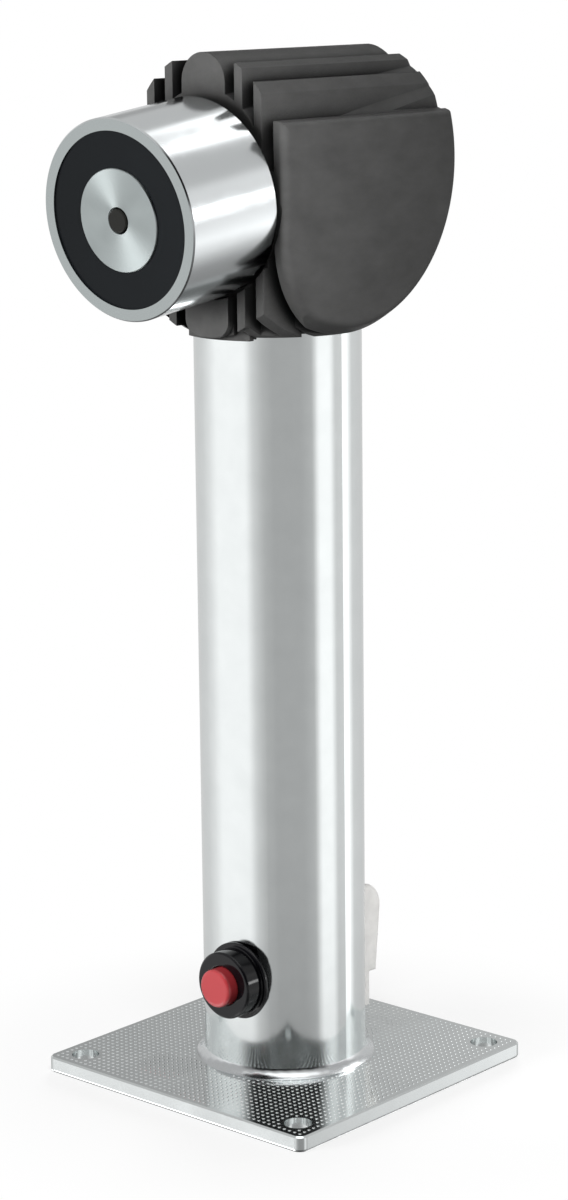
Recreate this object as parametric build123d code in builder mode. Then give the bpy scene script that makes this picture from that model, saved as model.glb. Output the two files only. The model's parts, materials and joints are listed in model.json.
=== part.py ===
from build123d import *
from math import cos, radians, sin, sqrt
import os

# Electromagnetic door holder: a square floor plate with a welded column, a ball head that tilts
# and swivels on the column's mouth, and a round holding magnet in front of the head.
# +Z is up, the origin is at the middle of the plate's underside, and the magnet faces -Y.

os.makedirs("parts", exist_ok=True)

# Clearances
fit_gap = 0.05          # curved faces of two pieces that stay together
running_gap = 0.3       # faces of two pieces that move past each other
overshoot = 1.0         # cutting tools start and end this far outside a face

# Floor plate
plate_side = 105.0
plate_thickness = 5.0
plate_corner_radius = 3.0
plate_bevel = 0.5
plate_lower_round = 1.0
anchor_inset = 8.5      # from the plate's edge to the middle of an anchor hole
anchor_hole_diameter = 8.4

# Cable entry in the plate
cable_bore_diameter = 12.0
grommet_wall = 3.0
grommet_lip = 2.5
grommet_lip_height = 2.0
grommet_lip_round = 0.8

# Column
column_diameter = 50.0
column_wall = 2.0
column_length = 226.7
edge_bevel = 0.4        # fine bevel on turned steel edges
weld_leg = 2.6
weld_face_radius = 4.2

# Ball head
seat_radius = 53.5      # the ball surface that slides on the column's mouth
cheek_proud = 1.7       # the ball left proud of that surface at the cheeks
head_width = 62.0
head_front = 30.6       # front face, ahead of the ball's centre
crown_top = 32.9        # top of the centre rib, above the ball's centre
crown_radius = 27.5     # the arc over the crown
cheek_top = 13.6        # flat top of the cheeks, at their outer faces
cheek_top_rise = 1.0    # the same top, higher at the step inside the outer slots
cheek_thickness = 4.4
cheek_edge_radius = 2.4
cheek_nose_radius = 30.0    # the big round of each cheek at the lower front
cheek_nose_drop = 20.3      # where that round leaves the front face, below the ball's centre
lip_radius = 29.5           # lower outline of the ribbed front
lip_drop = 19.1             # centre of that outline, below the ball's centre
lip_thickness = 6.0
lip_gap = 1.6           # round the column's mouth, inside the lip
lip_wall = 1.6          # the round wall between that gap and the lower slots
lip_wall_drop = 49.3    # its level lower edge, below the ball's centre
centre_rib_width = 16.8
inner_slot_width = 3.6
outer_slot_width = 4.3
fin_thickness = 3.0
rib_foot_radius = 5.0
slot_floor_front = 22.8     # radius of the upper slots' floor at the front face
slot_floor_angle = 5.95     # the floor rises towards the back, where the slots run out
lower_slot_floor = 28.0     # radius of the lower slots' floor
lower_slot_drop = 8.0       # centre of that floor, below the ball's centre

# Clamp that holds the ball down on the column
tilt_up = 90.0
channel_inner = 28.0
channel_outer = 40.0
channel_width = 24.0
channel_start = -46.0
channel_spare = 10.0
neck_width = 9.0
neck_start = 12.0       # the neck starts this far ahead of the bolt, in degrees
bolt_diameter = 6.0
bolt_head_flats = 10.0
bolt_head_height = 4.2
shoe_half_angle = 12.0
shoe_height = 6.8
shoe_side_gap = 0.4
liner_bore = 30.0
liner_height = 3.2
ring_bore = 24.0
ring_height = 8.0
disc_diameter = 38.0
disc_height = 4.3
spring_washer_diameter = 18.0
spring_washer_thickness = 0.9
spring_washer_cone = 0.8
clamp_nut_height = 6.0
clamp_nut_collar = 1.5
bolt_tail = 5.0

# Holding magnet: it nods on a ball behind its back face, and rests hanging below level
magnet_droop = 7.3
pivot_drop = 7.05       # the magnet's pivot, below the ball's centre
pivot_front = 25.05     # and ahead of it
pivot_setback = 6.5     # from the pivot to the pot's back face
pocket_clearance = 0.7
pot_diameter = 57.8
pot_length = 34.8
pot_bore = 50.6
pot_floor = 8.8
pot_bevel = 0.8
gasket_thickness = 0.5
gasket_inset = 1.9      # from the pot's outside to the gasket's
gasket_bore = 30.0
core_diameter = 29.5
core_bevel = 0.2
pin_diameter = 6.8
pin_proud = 0.5
pin_guide = 5.0
pin_collar = 1.3
pin_collar_thickness = 1.5
stud_diameter = 10.0
stud_reach = 7.0        # into the core
stud_neck_diameter = 7.0
stud_ball_diameter = 11.0
socket_diameter = 18.0
socket_front = 2.5      # ahead of the pivot
socket_back = 12.0      # behind the pivot
bobbin_wall = 1.2
winding_gap = 0.8
potting_depth = 3.3
potting_recess = 0.6
pin_spring_wire = 0.7
pin_spring_turns = 5

# Release button
button_height = 35.0
button_offset = 4.0     # to the right of the column's middle
flange_diameter = 23.6
flange_thickness = 1.2
flange_edge_radius = 0.4
bezel_diameter = 20.6
bezel_length = 6.2
bezel_front_wall = 2.0
bezel_bevel = 0.5
cap_diameter = 11.7
cap_proud = 3.8
cap_edge_radius = 0.8
collar_diameter = 13.8
collar_thickness = 1.5
barrel_wall = 1.3
stem_diameter = 4.0
stem_length = 7.0
switch_side = 17.0
switch_depth = 18.0
switch_shoulder = 14.0  # the switch box starts this far ahead of the column's axis
barrel_floor = 1.6
saddle_side = 20.0
terminal_width = 4.0
terminal_thickness = 0.8
terminal_length = 7.0
tab_hole_diameter = 2.0
tab_hole_reach = 4.5    # from the switch box to the middle of a tab's hole
terminal_pitch = 8.0
button_spring_wire = 0.6
button_spring_turns = 5

# Terminals behind the column
window_width = 18.0
window_low = 28.0
window_high = 52.0
bracket_face = 16.8     # rear face of the terminal bracket, behind the column's axis
bracket_thickness = 1.5
bracket_low = 24.0
bracket_high = 58.0
block_width = 15.0
block_height = 20.0
block_depth = 11.0
pole_count = 3
pole_pitch = 6.2
terminal_screw_diameter = 4.0
terminal_screw_slot = 0.8
terminal_screw_well = 5.5
terminal_screw_sunk = 1.0
wire_hole_diameter = 3.0
wire_hole_reach = 3.3   # from the bracket to the middle of a wire hole

# Rear cover
cover_width = 24.0
cover_low = 25.3
cover_high = 54.6
cover_depth_low = 30.3      # rear face at its lower edge, behind the column's axis
cover_depth_high = 32.4     # rear face where the rounded top starts
cover_wall = 1.6
cover_top_radius = 8.0
cover_edge_radius = 2.0
cover_side_radius = 1.2
tongue_low = 15.0
tongue_face = 26.4
cover_screw_height = 20.0
cover_screw_diameter = 3.0
cover_screw_head = 5.6
cover_screw_head_height = 1.5
cover_screw_socket = 2.0
cover_screw_length = 6.0

# Values that follow from the driving dimensions
anchor_spacing = plate_side - 2 * anchor_inset
column_radius = column_diameter / 2
column_bore_radius = column_radius - column_wall
column_top = plate_thickness + column_length
seat_clear = seat_radius + running_gap
ball_height = column_top + sqrt(seat_clear**2 - column_radius**2)
cheek_radius = seat_radius + cheek_proud
cheek_inner = head_width / 2 - cheek_thickness
lip_inner = column_radius + lip_gap
lip_outer = lip_inner + lip_wall
slot_edges = [centre_rib_width / 2]
for step in (inner_slot_width, fin_thickness, outer_slot_width, fin_thickness):
    slot_edges.append(slot_edges[-1] + step)
slot_edges.append(cheek_inner)
slots = [(slot_edges[0], slot_edges[1]), (slot_edges[2], slot_edges[3]), (slot_edges[4], slot_edges[5])]
slot_reach = cheek_radius + overshoot
lip_height = ball_height - lip_drop
pivot_height = ball_height - pivot_drop
gasket_diameter = pot_diameter - 2 * gasket_inset
core_radius = core_diameter / 2
pin_hole_radius = pin_diameter / 2 + running_gap
stud_radius = stud_diameter / 2

tilt_axis = Axis((0, 0, ball_height), (1, 0, 0))
crown_axis = Axis((0, 0, ball_height), (0, 1, 0))
droop = radians(magnet_droop)
magnet_direction = Vector(0, -cos(droop), -sin(droop))
magnet_pivot = Vector(0, -pivot_front, pivot_height)
magnet_seat = magnet_pivot + magnet_direction * pivot_setback
magnet_axis = Axis(magnet_seat, magnet_direction)
magnet_section = Plane(origin=magnet_seat, x_dir=(1, 0, 0), z_dir=(0, sin(droop), -cos(droop)))
socket_axis = Axis((0, 0, pivot_height), (0, -1, 0))
socket_section = Plane(origin=(0, -pivot_front, pivot_height), x_dir=(1, 0, 0), z_dir=(0, 0, -1))
column_axis = Axis((0, 0, 0), (0, 0, 1))
button_axis = Axis((button_offset, 0, button_height), (0, 1, 0))
button_plane = Plane(origin=(button_offset, 0, button_height), x_dir=(1, 0, 0), z_dir=(0, 0, 1))


def tilted_plane(angle):
    """The plane through the tilt axis whose -Y side points to this angle, from down towards the back."""
    turn = radians(angle)
    return Plane(origin=(0, 0, ball_height), x_dir=(1, 0, 0), z_dir=(0, -cos(turn), -sin(turn)))


def magnet_plane(ahead):
    """The plane across the magnet's axis, this far ahead of the pot's back face."""
    return Plane(origin=magnet_seat + magnet_direction * ahead, x_dir=(1, 0, 0), z_dir=magnet_direction)


def save(piece, name):
    """Label a finished piece and write it as its own file."""
    piece.label = name
    export_step(piece, f"parts/{name}.step")


# Floor plate: rounded lower edge, a fine bevel on top, four anchor holes and the cable hole
grommet_hole_radius = cable_bore_diameter / 2 + grommet_wall
with BuildPart() as base_plate:
    with BuildSketch():
        RectangleRounded(plate_side, plate_side, plate_corner_radius)
    extrude(amount=plate_thickness)
    chamfer(base_plate.faces().sort_by(Axis.Z)[-1].edges(), plate_bevel)
    fillet(base_plate.faces().sort_by(Axis.Z)[0].edges(), plate_lower_round)
    with BuildSketch():
        with GridLocations(anchor_spacing, anchor_spacing, 2, 2):
            Circle(anchor_hole_diameter / 2)
        Circle(grommet_hole_radius)
    extrude(amount=plate_thickness, mode=Mode.SUBTRACT)
save(base_plate.part, "base_plate")

# Rubber grommet in the cable hole, with a lip on the plate inside the column
with BuildPart() as cable_grommet:
    with BuildSketch(Plane.XY.offset(plate_bevel)):
        Circle(grommet_hole_radius - fit_gap)
    extrude(amount=plate_thickness - plate_bevel + grommet_lip_height)
    with BuildSketch(Plane.XY.offset(plate_thickness)):
        Circle(grommet_hole_radius + grommet_lip)
    extrude(amount=grommet_lip_height)
    fillet(cable_grommet.faces().sort_by(Axis.Z)[-1].edges(), grommet_lip_round)
    with BuildSketch():
        Circle(cable_bore_diameter / 2)
    extrude(amount=plate_thickness + grommet_lip_height, mode=Mode.SUBTRACT)
save(cable_grommet.part, "cable_grommet")

# Column: the steel tube, with the button's hole in front and the terminal window behind
barrel_bore_radius = collar_diameter / 2 + running_gap
barrel_radius = barrel_bore_radius + barrel_wall
barrel_hole_radius = barrel_radius + running_gap
with BuildPart() as column_tube:
    with BuildSketch(Plane.XY.offset(plate_thickness)):
        Circle(column_radius)
        Circle(column_bore_radius, mode=Mode.SUBTRACT)
    extrude(amount=column_length)
    with Locations((0, 0, ball_height)):
        Sphere(seat_clear, mode=Mode.SUBTRACT)
    with BuildSketch(Plane.XZ):
        with Locations((button_offset, button_height)):
            Circle(barrel_hole_radius)
    extrude(amount=column_diameter, mode=Mode.SUBTRACT)
    with BuildSketch(Plane.XZ):
        with Locations((0, (window_low + window_high) / 2)):
            RectangleRounded(window_width, window_high - window_low, cover_edge_radius)
        with Locations((0, cover_screw_height)):
            Circle(cover_screw_diameter / 2)
    extrude(amount=-column_diameter, mode=Mode.SUBTRACT)
save(column_tube.part, "column_tube")

# Weld bead between the column and the plate, slightly crowned
with BuildPart() as weld_bead:
    with BuildSketch(Plane.XZ):
        with BuildLine():
            corner = (column_radius + fit_gap, plate_thickness)
            toe = (column_radius + fit_gap + weld_leg, plate_thickness)
            top = (column_radius + fit_gap, plate_thickness + weld_leg)
            Line(corner, toe)
            RadiusArc(toe, top, -weld_face_radius)
            Line(top, corner)
        make_face()
    revolve(axis=column_axis)
save(weld_bead.part, "weld_bead")

# Steel ring in the column's mouth, and the slippery liner that the ball turns on
liner_radius = column_bore_radius - fit_gap
liner_floor = ball_height - sqrt(seat_clear**2 - (liner_bore / 2) ** 2) - liner_height
ring_floor = liner_floor - ring_height
with BuildPart() as friction_liner:
    with BuildSketch(Plane.XY.offset(liner_floor)):
        Circle(liner_radius)
        Circle(liner_bore / 2, mode=Mode.SUBTRACT)
    extrude(amount=column_top - liner_floor)
    with Locations((0, 0, ball_height)):
        Sphere(seat_clear, mode=Mode.SUBTRACT)
save(friction_liner.part, "friction_liner")

with BuildPart() as seat_ring:
    with BuildSketch(Plane.XY.offset(ring_floor)):
        Circle(liner_radius)
        Circle(ring_bore / 2, mode=Mode.SUBTRACT)
    extrude(amount=ring_height)
    chamfer(seat_ring.edges().sort_by(Axis.Z)[0:2], edge_bevel)
save(seat_ring.part, "seat_ring")

# Tools for the head: the upper slots over a rising cone, and the lower slots behind the front lip
with BuildPart() as upper_slots:
    with BuildSketch(Plane.XZ.offset(head_front + overshoot)):
        for inner, outer in slots:
            for side in (-1, 1):
                with Locations((side * (inner + outer) / 2, ball_height + slot_reach / 2)):
                    Rectangle(outer - inner, slot_reach)
    extrude(amount=-(head_front + overshoot + slot_reach))
    cone_back = slot_floor_front + (head_front + slot_reach) * sin(radians(slot_floor_angle))
    with BuildSketch(Plane.XY.offset(ball_height)):
        with BuildLine():
            Polyline((0, -head_front - overshoot), (slot_floor_front, -head_front - overshoot),
                     (slot_floor_front, -head_front), (cone_back, slot_reach), (0, slot_reach), close=True)
        make_face()
    revolve(axis=crown_axis, mode=Mode.SUBTRACT)

with BuildPart() as lower_slots:
    with BuildSketch(Plane.XZ.offset(head_front + overshoot)):
        for inner, outer in slots:
            for side in (-1, 1):
                with Locations((side * (inner + outer) / 2, ball_height - lower_slot_drop - slot_reach / 2)):
                    Rectangle(outer - inner, slot_reach)
    extrude(amount=-(head_front + overshoot))
    with BuildSketch(Plane.XY):
        Circle(lip_outer)
    extrude(amount=ball_height, mode=Mode.SUBTRACT)
    with BuildSketch(Plane.XZ.offset(head_front + overshoot)):
        with Locations((0, ball_height - lower_slot_drop)):
            Circle(lower_slot_floor)
    extrude(amount=-(head_front + overshoot), mode=Mode.SUBTRACT)

# Tool for the seat: what stands proud of the ball between the cheeks, behind the front lip
with BuildPart() as seat_band:
    with BuildSketch(Plane.XY.offset(ball_height - slot_reach)):
        Circle(lip_inner)
    extrude(amount=slot_reach)
    with BuildSketch(Plane.XY.offset(ball_height - slot_reach)):
        with Locations((0, slot_reach / 2)):
            Rectangle(lip_inner * 2, slot_reach)
    extrude(amount=slot_reach * 2)
    with Locations((0, 0, ball_height)):
        Sphere(seat_radius, mode=Mode.SUBTRACT)

# Tool for the lower front corner of the cheeks
with BuildPart() as cheek_corners:
    nose_start = ball_height - cheek_nose_drop
    nose_centre = cheek_nose_radius - head_front
    with BuildSketch(Plane.YZ):
        with Locations((nose_centre - slot_reach / 2, nose_start - slot_reach / 2)):
            Rectangle(slot_reach, slot_reach)
        with Locations((nose_centre, nose_start)):
            Circle(cheek_nose_radius, mode=Mode.SUBTRACT)
    extrude(amount=slot_reach, both=True)
    with BuildSketch(Plane.YZ):
        with Locations((nose_centre - slot_reach / 2, nose_start - slot_reach / 2)):
            Rectangle(slot_reach, slot_reach)
    extrude(amount=slots[2][0], both=True, mode=Mode.SUBTRACT)

# Tool for the ends of the centre rib: full round on top, rounded corners at its foot
with BuildPart() as rib_corners:
    rib_half = centre_rib_width / 2
    rib_top = ball_height + crown_top
    with BuildSketch(Plane.XZ.offset(head_front + overshoot)):
        with Locations((0, rib_top)):
            Rectangle(centre_rib_width, centre_rib_width)
        with Locations((0, rib_top - rib_half)):
            Circle(rib_half, mode=Mode.SUBTRACT)
    extrude(amount=-(head_front + overshoot + slot_reach))
    foot_x = rib_half - rib_foot_radius
    foot_centre = lip_height - sqrt((lip_radius - rib_foot_radius) ** 2 - foot_x**2)
    with BuildSketch(Plane.XZ.offset(head_front + overshoot)):
        for side in (-1, 1):
            with Locations((side * (foot_x + slot_edges[1]) / 2, foot_centre - rib_foot_radius)):
                Rectangle(slot_edges[1] - foot_x, rib_foot_radius * 2)
            with Locations((side * foot_x, foot_centre)):
                Circle(rib_foot_radius, mode=Mode.SUBTRACT)
    extrude(amount=-(head_front + overshoot - lip_outer))

# Head housing: a ball between two flat cheeks, ribbed in front and on top
socket_radius = socket_diameter / 2
step_x = (slots[2][0] + slots[2][1]) / 2
with BuildPart() as head_housing:
    with BuildSketch(Plane.XZ.offset(head_front)):
        with BuildLine():
            low = ball_height - slot_reach
            side_x = head_width / 2
            side_top = ball_height + cheek_top
            step_low = side_top + cheek_top_rise
            step_top = ball_height + crown_top - crown_radius + sqrt(crown_radius**2 - step_x**2)
            Polyline((step_x, step_top), (step_x, step_low), (side_x, side_top), (side_x, low),
                     (-side_x, low), (-side_x, side_top), (-step_x, step_low), (-step_x, step_top))
            ThreePointArc((-step_x, step_top), (0, ball_height + crown_top), (step_x, step_top))
        make_face()
    extrude(amount=-(head_front + slot_reach))
    with Locations((0, 0, ball_height)):
        Sphere(cheek_radius, mode=Mode.INTERSECT)
    add(cheek_corners.part, mode=Mode.SUBTRACT)
    outer_faces = head_housing.faces().filter_by(Axis.X).group_by(Axis.X)
    outer_edges = (outer_faces[0] + outer_faces[-1]).edges()
    fillet(outer_edges.filter_by(GeomType.CIRCLE) + outer_edges.filter_by(Axis.Y), cheek_edge_radius)
    # the lip under the ribs, and the round wall before the column's mouth
    with BuildSketch(Plane.XZ.offset(head_front)):
        with Locations((0, lip_height)):
            Circle(lip_radius)
        with Locations((0, lip_height - lip_radius)):
            Rectangle(slots[2][0] * 2, lip_radius * 2, mode=Mode.INTERSECT)
    extrude(amount=-lip_thickness)
    with BuildSketch(Plane.XY.offset(ball_height - lip_wall_drop)):
        Circle(lip_outer)
        with Locations((0, -lip_outer / 2)):
            Rectangle(slot_edges[1] * 2, lip_outer, mode=Mode.INTERSECT)
        Circle(lip_inner, mode=Mode.SUBTRACT)
    extrude(amount=lip_thickness)
    add(seat_band.part, mode=Mode.SUBTRACT)
    add(rib_corners.part, mode=Mode.SUBTRACT)
    add(upper_slots.part, mode=Mode.SUBTRACT)
    add(lower_slots.part, mode=Mode.SUBTRACT)
    # the curved channel that the clamp shoe slides in, and the neck for its bolt
    with BuildSketch(tilted_plane(channel_start)):
        with Locations((0, -(channel_inner + channel_outer) / 2)):
            Rectangle(channel_width, channel_outer - channel_inner)
    channel_arc = tilt_up + shoe_half_angle + channel_spare - channel_start
    revolve(axis=tilt_axis, revolution_arc=channel_arc, mode=Mode.SUBTRACT)
    with BuildSketch(tilted_plane(-neck_start)):
        with Locations((0, -(channel_outer + slot_reach) / 2)):
            Rectangle(neck_width, slot_reach - channel_outer + overshoot)
    revolve(axis=tilt_axis, revolution_arc=tilt_up + 2 * neck_start, mode=Mode.SUBTRACT)
    # the pocket that the magnet's back edge hangs into, and the bore for its socket
    with BuildSketch(magnet_plane(-gasket_thickness - running_gap)):
        Circle(pot_diameter / 2 + pocket_clearance)
    extrude(amount=pot_length, mode=Mode.SUBTRACT)
    with BuildSketch(Plane.XZ.offset(head_front)):
        with Locations((0, pivot_height)):
            Circle(socket_radius + fit_gap)
    extrude(amount=-(head_front - pivot_front + socket_back), mode=Mode.SUBTRACT)
save(head_housing.part, "head_housing")

# Clamp shoe: slides in the curved channel and turns with the head
shoe_radius = channel_outer - running_gap
shoe_half_width = channel_width / 2 - shoe_side_gap
shoe_top = ball_height - shoe_radius + shoe_height
with BuildPart() as clamp_shoe:
    with BuildSketch(tilted_plane(-shoe_half_angle)):
        with Locations((0, -shoe_radius + shoe_height)):
            Rectangle(shoe_half_width * 2, shoe_height * 2)
    revolve(axis=tilt_axis, revolution_arc=shoe_half_angle * 2)
    with BuildSketch(Plane.XY.offset(shoe_top)):
        Rectangle(channel_width, channel_width)
    extrude(amount=shoe_radius, mode=Mode.SUBTRACT)
    with BuildSketch(Plane.XY.offset(ball_height - channel_outer)):
        Circle(bolt_diameter / 2 + fit_gap)
    extrude(amount=channel_outer, mode=Mode.SUBTRACT)
save(clamp_shoe.part, "clamp_shoe")

# Tension bolt, from the shoe down through the neck, the liner, the ring and the disc
disc_top = ring_floor - running_gap
disc_floor = disc_top - disc_height
washer_height = spring_washer_thickness + spring_washer_cone
nut_top = disc_floor - 2 * washer_height
bolt_end = nut_top - clamp_nut_height - bolt_tail
hexagon_radius = bolt_head_flats / 2 / cos(radians(30))
with BuildPart() as tension_bolt:
    with BuildSketch(Plane.XY.offset(shoe_top)):
        RegularPolygon(hexagon_radius, 6)
    extrude(amount=bolt_head_height)
    with BuildSketch(Plane.XY.offset(bolt_end)):
        Circle(bolt_diameter / 2)
    extrude(amount=shoe_top - bolt_end)
    chamfer(tension_bolt.edges().sort_by(Axis.Z)[0], edge_bevel)
save(tension_bolt.part, "tension_bolt")

with BuildPart() as clamp_disc:
    with BuildSketch(Plane.XY.offset(disc_floor)):
        Circle(disc_diameter / 2)
        Circle(bolt_diameter / 2 + fit_gap, mode=Mode.SUBTRACT)
    extrude(amount=disc_height)
    chamfer(clamp_disc.edges().group_by(Axis.Z)[0].sort_by(SortBy.LENGTH)[-1], edge_bevel)
save(clamp_disc.part, "clamp_disc")

# Two disc springs, face to face, between the disc and the nut
with BuildPart() as disc_springs:
    with BuildSketch(Plane.XZ):
        bore = bolt_diameter / 2 + fit_gap
        edge = spring_washer_diameter / 2
        middle = disc_floor - washer_height
        for turn in (-1, 1):
            with BuildLine():
                inner_tip = middle + turn * washer_height
                Polyline((bore, inner_tip), (bore, inner_tip - turn * spring_washer_thickness),
                         (edge, middle), (edge, middle + turn * spring_washer_thickness), close=True)
            make_face()
    revolve(axis=column_axis)
save(disc_springs.part, "disc_springs")

with BuildPart() as clamp_nut:
    with BuildSketch(Plane.XY.offset(nut_top)):
        RegularPolygon(hexagon_radius, 6)
        Circle(bolt_diameter / 2 + fit_gap, mode=Mode.SUBTRACT)
    extrude(amount=clamp_nut_collar - clamp_nut_height)
    with BuildSketch(Plane.XY.offset(nut_top - clamp_nut_height)):
        Circle(bolt_head_flats / 2 - edge_bevel)
        Circle(bolt_diameter / 2 + fit_gap, mode=Mode.SUBTRACT)
    extrude(amount=clamp_nut_collar)
save(clamp_nut.part, "clamp_nut")

# Gasket on the pot's back face
with BuildPart() as magnet_gasket:
    with BuildSketch(magnet_plane(0)):
        Circle(gasket_diameter / 2)
        Circle(gasket_bore / 2, mode=Mode.SUBTRACT)
    extrude(amount=-gasket_thickness)
save(magnet_gasket.part, "magnet_gasket")

# Magnet pot: a turned steel cup, open to the front
with BuildPart() as magnet_pot:
    with BuildSketch(magnet_plane(0)):
        Circle(pot_diameter / 2)
    extrude(amount=pot_length)
    with BuildSketch(magnet_plane(pot_floor)):
        Circle(pot_bore / 2)
    extrude(amount=pot_length, mode=Mode.SUBTRACT)
    with BuildSketch(magnet_plane(0)):
        Circle(stud_radius + fit_gap)
    extrude(amount=pot_floor, mode=Mode.SUBTRACT)
    rims = magnet_pot.edges().group_by(magnet_axis)
    chamfer(rims[0].sort_by(SortBy.LENGTH)[-1], pot_bevel)
    chamfer(rims[-1].sort_by(SortBy.LENGTH)[-1], edge_bevel)
save(magnet_pot.part, "magnet_pot")

# Pole core: the round pole in the middle, bored for the ejector pin and for the stud
guide_back = pot_length - pin_guide
with BuildPart() as pole_core:
    with BuildSketch(magnet_section):
        with BuildLine():
            stud_bore = stud_radius + fit_gap
            Polyline((stud_bore, pot_floor), (core_radius, pot_floor), (core_radius, pot_length),
                     (pin_hole_radius, pot_length), (pin_hole_radius, guide_back), (stud_bore, guide_back),
                     close=True)
        make_face()
    revolve(axis=magnet_axis)
    chamfer(pole_core.edges().group_by(magnet_axis)[-1], core_bevel)
save(pole_core.part, "pole_core")

# Coil bobbin, its winding and the potting that seals them in
bobbin_inner = core_radius + fit_gap
bobbin_outer = pot_bore / 2 - fit_gap
potting_front = pot_length - potting_recess
potting_back = potting_front - potting_depth
with BuildPart() as coil_bobbin:
    with BuildSketch(magnet_section):
        with BuildLine():
            hub = bobbin_inner + bobbin_wall
            back_flange = pot_floor + bobbin_wall
            front_flange = potting_back - bobbin_wall
            Polyline((bobbin_inner, pot_floor), (bobbin_outer, pot_floor), (bobbin_outer, back_flange),
                     (hub, back_flange), (hub, front_flange), (bobbin_outer, front_flange),
                     (bobbin_outer, potting_back), (bobbin_inner, potting_back), close=True)
        make_face()
    revolve(axis=magnet_axis)
save(coil_bobbin.part, "coil_bobbin")

with BuildPart() as coil_winding:
    with BuildSketch(magnet_section):
        with BuildLine():
            wound = bobbin_outer - winding_gap
            back = back_flange + fit_gap
            front = front_flange - fit_gap
            Polyline((hub + fit_gap, back), (wound, back), (wound, front), (hub + fit_gap, front), close=True)
        make_face()
    revolve(axis=magnet_axis)
save(coil_winding.part, "coil_winding")

with BuildPart() as potting_ring:
    with BuildSketch(magnet_plane(potting_back)):
        Circle(bobbin_outer)
        Circle(bobbin_inner, mode=Mode.SUBTRACT)
    extrude(amount=potting_depth)
save(potting_ring.part, "potting_ring")

# Ball stud: its shank is fixed in the pot and core, and its ball turns in the head's socket
stud_front = pot_floor + stud_reach
stud_ball_radius = stud_ball_diameter / 2
with BuildPart() as magnet_stud:
    with BuildSketch(magnet_section):
        with BuildLine():
            Polyline((0, stud_front), (stud_radius, stud_front), (stud_radius, 0),
                     (stud_neck_diameter / 2, 0), (stud_neck_diameter / 2, -pivot_setback),
                     (0, -pivot_setback), close=True)
        make_face()
    revolve(axis=magnet_axis)
    with Locations(magnet_pivot):
        Sphere(stud_ball_radius)
    chamfer(magnet_stud.edges().group_by(magnet_axis)[-1], edge_bevel)
save(magnet_stud.part, "magnet_stud")

# Socket cup behind the ball, and the ring that holds the ball in it
with BuildPart() as socket_cup:
    with BuildSketch(socket_section):
        with BuildLine():
            Polyline((0, -socket_back), (socket_radius, -socket_back), (socket_radius, 0), (0, 0), close=True)
        make_face()
    revolve(axis=socket_axis)
    with Locations(magnet_pivot):
        Sphere(stud_ball_radius + running_gap, mode=Mode.SUBTRACT)
    chamfer(socket_cup.edges().group_by(Axis.Y)[-1], edge_bevel)
save(socket_cup.part, "socket_cup")

with BuildPart() as socket_ring:
    with BuildSketch(socket_section):
        with BuildLine():
            Polyline((0, 0), (socket_radius, 0), (socket_radius, socket_front), (0, socket_front), close=True)
        make_face()
    revolve(axis=socket_axis)
    with Locations(magnet_pivot):
        Sphere(stud_ball_radius + running_gap, mode=Mode.SUBTRACT)
    chamfer(socket_ring.edges().group_by(Axis.Y)[0].sort_by(SortBy.LENGTH)[-1], edge_bevel)
save(socket_ring.part, "socket_ring")

# Ejector pin: a spring pushes it out to part the armature plate from the magnet
pin_front = pot_length + pin_proud
collar_front = guide_back - running_gap
collar_back = collar_front - pin_collar_thickness
with BuildPart() as ejector_pin:
    with BuildSketch(magnet_plane(collar_front)):
        Circle(pin_diameter / 2)
    extrude(amount=pin_front - collar_front)
    fillet(ejector_pin.edges().group_by(magnet_axis)[-1], edge_bevel)
    with BuildSketch(magnet_plane(collar_back)):
        Circle(pin_diameter / 2 + pin_collar)
    extrude(amount=pin_collar_thickness)
save(ejector_pin.part, "ejector_pin")

# Ejector spring: from the stud's end to the pin's collar
with BuildPart() as ejector_spring:
    spring_length = collar_back - stud_front - 2 * pin_spring_wire
    spring_radius = stud_radius - pin_spring_wire - running_gap
    with BuildLine() as pin_coil:
        Helix(spring_length / pin_spring_turns, spring_length, spring_radius,
              center=magnet_seat + magnet_direction * (stud_front + pin_spring_wire),
              direction=magnet_direction)
    with BuildSketch(Plane(origin=pin_coil.line @ 0, z_dir=pin_coil.line % 0)):
        RegularPolygon(pin_spring_wire / 2, 6)
    sweep()
save(ejector_spring.part, "ejector_spring")

# Switch bezel: the round nut with its flange, seated on the front line of the column
flange_back = column_radius + fit_gap
bezel_front = flange_back + flange_thickness + bezel_length
bezel_ledge = bezel_front - bezel_front_wall
cap_radius = cap_diameter / 2
with BuildPart() as switch_bezel:
    with BuildSketch(button_plane):
        with BuildLine():
            bezel_radius = bezel_diameter / 2
            flange_front = flange_back + flange_thickness
            Polyline((barrel_radius + fit_gap, -flange_back), (flange_diameter / 2, -flange_back),
                     (flange_diameter / 2, -flange_front), (bezel_radius, -flange_front),
                     (bezel_radius, -bezel_front + bezel_bevel), (bezel_radius - bezel_bevel, -bezel_front),
                     (cap_radius + running_gap, -bezel_front), (cap_radius + running_gap, -bezel_ledge),
                     (barrel_radius + fit_gap, -bezel_ledge), close=True)
        make_face()
    revolve(axis=button_axis)
    fillet(switch_bezel.edges().filter_by(GeomType.CIRCLE).sort_by(SortBy.LENGTH)[-2:], flange_edge_radius)
save(switch_bezel.part, "switch_bezel")

# Switch body: a threaded barrel through the column's wall and a square box inside
collar_rest = bezel_ledge - running_gap
with BuildPart() as switch_body:
    with BuildSketch(Plane.XZ.offset(switch_shoulder)):
        with Locations((button_offset, button_height)):
            Circle(barrel_radius)
    extrude(amount=collar_rest - switch_shoulder)
    with BuildSketch(Plane.XZ.offset(switch_shoulder)):
        with Locations((button_offset, button_height)):
            RectangleRounded(switch_side, switch_side, bezel_bevel)
    extrude(amount=-switch_depth)
    with BuildSketch(Plane.XZ.offset(switch_shoulder + barrel_floor)):
        with Locations((button_offset, button_height)):
            Circle(barrel_bore_radius)
    extrude(amount=bezel_front, mode=Mode.SUBTRACT)
save(switch_body.part, "switch_body")

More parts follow.
